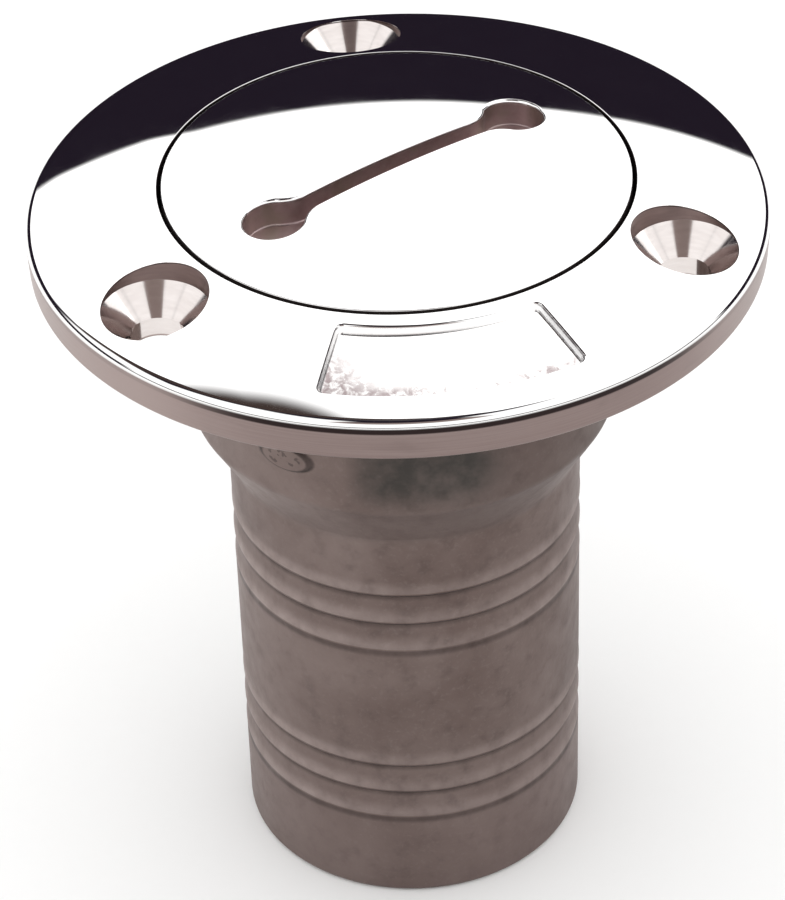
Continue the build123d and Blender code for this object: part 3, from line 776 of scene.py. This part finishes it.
def join(me, *others):
    """One mesh from several, exact normals kept; extra ones get face normals
    with soft edges under 35 degrees."""
    import bmesh
    for o in others:
        o.set_sharp_from_angle(angle=math.radians(35.0))
        for p in o.polygons:
            p.use_smooth = True
        att = o.attributes.new("exact", "FLOAT_VECTOR", "CORNER")
        flat = [0.0] * (3 * len(o.loops))
        for i, c in enumerate(o.corner_normals):
            flat[3 * i:3 * i + 3] = c.vector
        att.data.foreach_set("vector", flat)
    bm = bmesh.new()
    for o in (me, *others):
        bm.from_mesh(o)
    out = bpy.data.meshes.new(me.name)
    bm.to_mesh(out)
    bm.free()
    return out


L_IN, L_OUT, L_HALF, L_DEEP, L_BEVEL, L_CORNER = 25.9, 34.8, math.radians(22.7), 0.70, 0.75, 1.0


def label_depth(x, y):
    r = math.hypot(x, y)
    a = abs(math.atan2(x, -y))
    if a > 0.6 or r < 25.0 or r > 36.0:
        return 0.0
    mid, half = (L_IN + L_OUT) / 2.0, (L_OUT - L_IN) / 2.0
    qx = abs(r - mid) - (half - L_CORNER)
    qy = r * math.sin(a - L_HALF) + L_CORNER
    sdf = math.hypot(max(qx, 0.0), max(qy, 0.0)) + min(max(qx, qy), 0.0) - L_CORNER
    u = -sdf
    w = 0.14
    flat = L_BEVEL - 2 * w

    def area(t):
        if t <= 0.0:
            return 0.0
        if t < flat:
            return t * t / (2.0 * flat)
        return flat / 2.0 + (t - flat)

    return L_DEEP * (area(u) - area(u - 2 * w)) / (2 * w)


def pad_push(theta, z):
    da = (theta - PAD_A + math.pi) % (2 * math.pi) - math.pi
    q = math.hypot(22.5 * da / 3.2, (z - PAD_Z) / 1.62)
    if q > 1.2:
        return 0.0
    t = max(0.0, min(1.0, (1.05 - q) / 0.22))
    return 0.36 * t * t * (3.0 - 2.0 * t)


def barb_corners():
    """The barbs' outline, downwards, as the corner list of corner_path."""
    out = []
    tube, sunk, proud = 18.85, 0.28, 0.05
    for top in (-32.3, -32.3 - 23.9):
        for i in range(3):
            c = top - i * 3.8
            up = c + (2.7 if i == 0 else 3.8 - 0.55)
            foot = tube if i == 0 else tube - sunk
            crest = tube + proud
            if i == 0:
                out.append((tube, up, 0.0))
            out.append(((foot + crest) / 2 - 0.05, (up + c + 0.3) / 2, 2.0))
            out.append((crest - 0.02, c + 0.3, 0.2))
            out.append((crest - 0.03, c - 0.15, 0.12))
            low = tube - sunk if i < 2 else tube
            out.append((low, c - 0.55, 0.1))
    return out


def body_mesh():
    draft = math.atan2(0.2, dome_z(38.1))
    rc, zc = dome_edge(1.0, 38.1, draft, False)
    samples = []
    # rim round, from the dome to the side
    top_a = math.atan2(zc - (9.5 - 142.0), rc)
    for i in range(25):
        a = top_a + (-draft - top_a) * i / 24.0
        nn = Vector((math.cos(a), math.sin(a)))
        samples.append((rc + nn.x, zc + nn.y, nn, nn))
    end = samples[-1]
    corners = [(end[0], end[1], 0.0), (37.9, 0.0, 0.4), (22.5, 0.0, 1.6)]
    corners += [(22.5, z / 100.0, 0.0) for z in range(-1120, -1601, -12)]
    corners += [(22.5, -18.8, 2.0), (18.85, -25.2, 2.5)] + barb_corners()
    corners += [(18.85, -75.3, 0.8), (16.5, -75.3, 0.4), (16.5, -24.6, 2.0), (19.2, -17.8, 2.0), (19.2, 1.0, 0.35),
                (21.4, 1.0, 0.0), (21.4, 3.0, 0.2), (24.4, 3.0, 0.0)]
    bc, bz = dome_edge(0.12, 24.4, 0.0, True)
    corners.append((24.4, bz, 0.0))
    samples += corner_path(corners, 10)[1:]
    # edge of the cap's bore, then the dome out to the rim round
    bore_a = math.atan2(bz - (9.5 - 142.0), bc)
    for i in range(1, 9):
        a = math.pi + (bore_a - math.pi) * i / 8.0
        nn = Vector((math.cos(a), math.sin(a)))
        samples.append((bc + 0.12 * nn.x, bz + 0.12 * nn.y, nn, nn))
    r0, r1 = samples[-1][0], samples[0][0]
    n = 100
    for i in range(1, n):
        r = r0 + (r1 - r0) * i / n
        nn = Vector((r, 142.0 + dome_z(r) - 9.5)).normalized()
        samples.append((r, dome_z(r), nn, nn))
    full = []
    for s in samples:
        on_dome = s[1] > 3.6 and 24.7 < s[0] < 36.9
        on_neck = abs(s[0] - 22.5) < 1e-6 and -17.5 < s[1] < -9.0
        full.append((s[0], s[1], s[2], s[3], on_dome, on_neck))
    full.reverse()
    full = [(r, z, b, a, d, p) for r, z, a, b, d, p in full]
    thetas = []
    t = -90.0 - 27.0
    while t < -90.0 + 27.0 - 1e-6:
        thetas.append(t)
        t += 0.18
    while t < 270.0 - 27.0 - 1e-6:
        thetas.append(t)
        t += 0.3 if 270.0 - 53.0 < t else 0.75
    me = revolve_mesh("deck body", full, [math.radians(a) for a in thetas], True, label_depth, pad_push)
    for deg in (-150.0, -30.0, 90.0):
        me = cut(me, hole_cutter(30.6, deg))
    me = join(me, ridge_mesh(19.2, 17.9, -9.9, -0.6, 0.0))
    set_normals(me)
    return me


def cap_mesh():
    rc, zc = dome_edge(0.12, 24.0, 0.0, False)
    samples = []
    for i in range(48):
        r = rc * i / 48.0
        nn = Vector((r, 142.0 + dome_z(r) - 9.5)).normalized()
        samples.append((r, dome_z(r), nn, nn))
    top_a = math.atan2(zc - (9.5 - 142.0), rc)
    for i in range(9):
        a = top_a * (1.0 - i / 8.0)
        nn = Vector((math.cos(a), math.sin(a)))
        samples.append((rc + 0.12 * nn.x, zc + 0.12 * nn.y, nn, nn))
    end = samples[-1]
    corners = [(end[0], end[1], 0.0), (24.0, 3.3, 0.3), (18.55, 3.3, 0.0), (18.55, 2.0, 0.0), (17.5, 0.8, 0.0),
               (17.5, -10.0, 0.6), (14.8, -10.0, 0.3), (14.8, 3.5, 1.5), (4.5, 3.5, 0.5), (4.5, 1.5, 0.0),
               (2.05, 1.5, 0.0), (2.05, 4.8, 0.0), (0.0, 4.8, 0.0)]
    samples += corner_path(corners, 10)[1:]
    full = [(s[0], s[1], s[3], s[2], False, False) for s in reversed(samples)]
    me = revolve_mesh("fill cap", full, [2 * math.pi * j / 360 for j in range(360)], False)
    me = cut(me, key_cutter())
    phase = 360.0 * (-8.9 + 9.9 - 1.5) / 3.0
    me = join(me, ridge_mesh(17.5, 18.6, -8.9, -0.2, phase))
    set_normals(me)
    return me


def piece(name, me, mat, body, node):
    o = bpy.data.objects.new(name, me)
    scene.collection.objects.link(o)
    me.materials.clear()
    me.materials.append(mat)
    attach(o, body)
    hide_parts(node)
    return o


def paint(node, mat):
    o = NODES[node]
    o.data.materials.clear()
    o.data.materials.append(mat)


make_camera()
make_world()
make_floor()
scene.view_settings.view_transform = "Standard"
scene.view_settings.look = "None"

steel = steel_material("fastener steel", (0.52, 0.49, 0.46), (0.66, 0.63, 0.60), 0.20, 0.34)
chain = steel_material("chain steel", (0.62, 0.60, 0.57), (0.76, 0.74, 0.71), 0.10, 0.20)
piece("deck_body_fine", body_mesh(), body_material(), "housing", "deck_body")
piece("fill_cap_fine", cap_mesh(), cap_material(), "cap", "fill_cap")
paint("cap_o_ring", rubber_material())
for name in NODES:
    if name in ("swivel_screw", "swivel_washer", "swivel_eyelet", "wall_eye_pin"):
        paint(name, steel)
    elif name not in ("deck_body", "fill_cap", "cap_o_ring"):
        paint(name, chain)
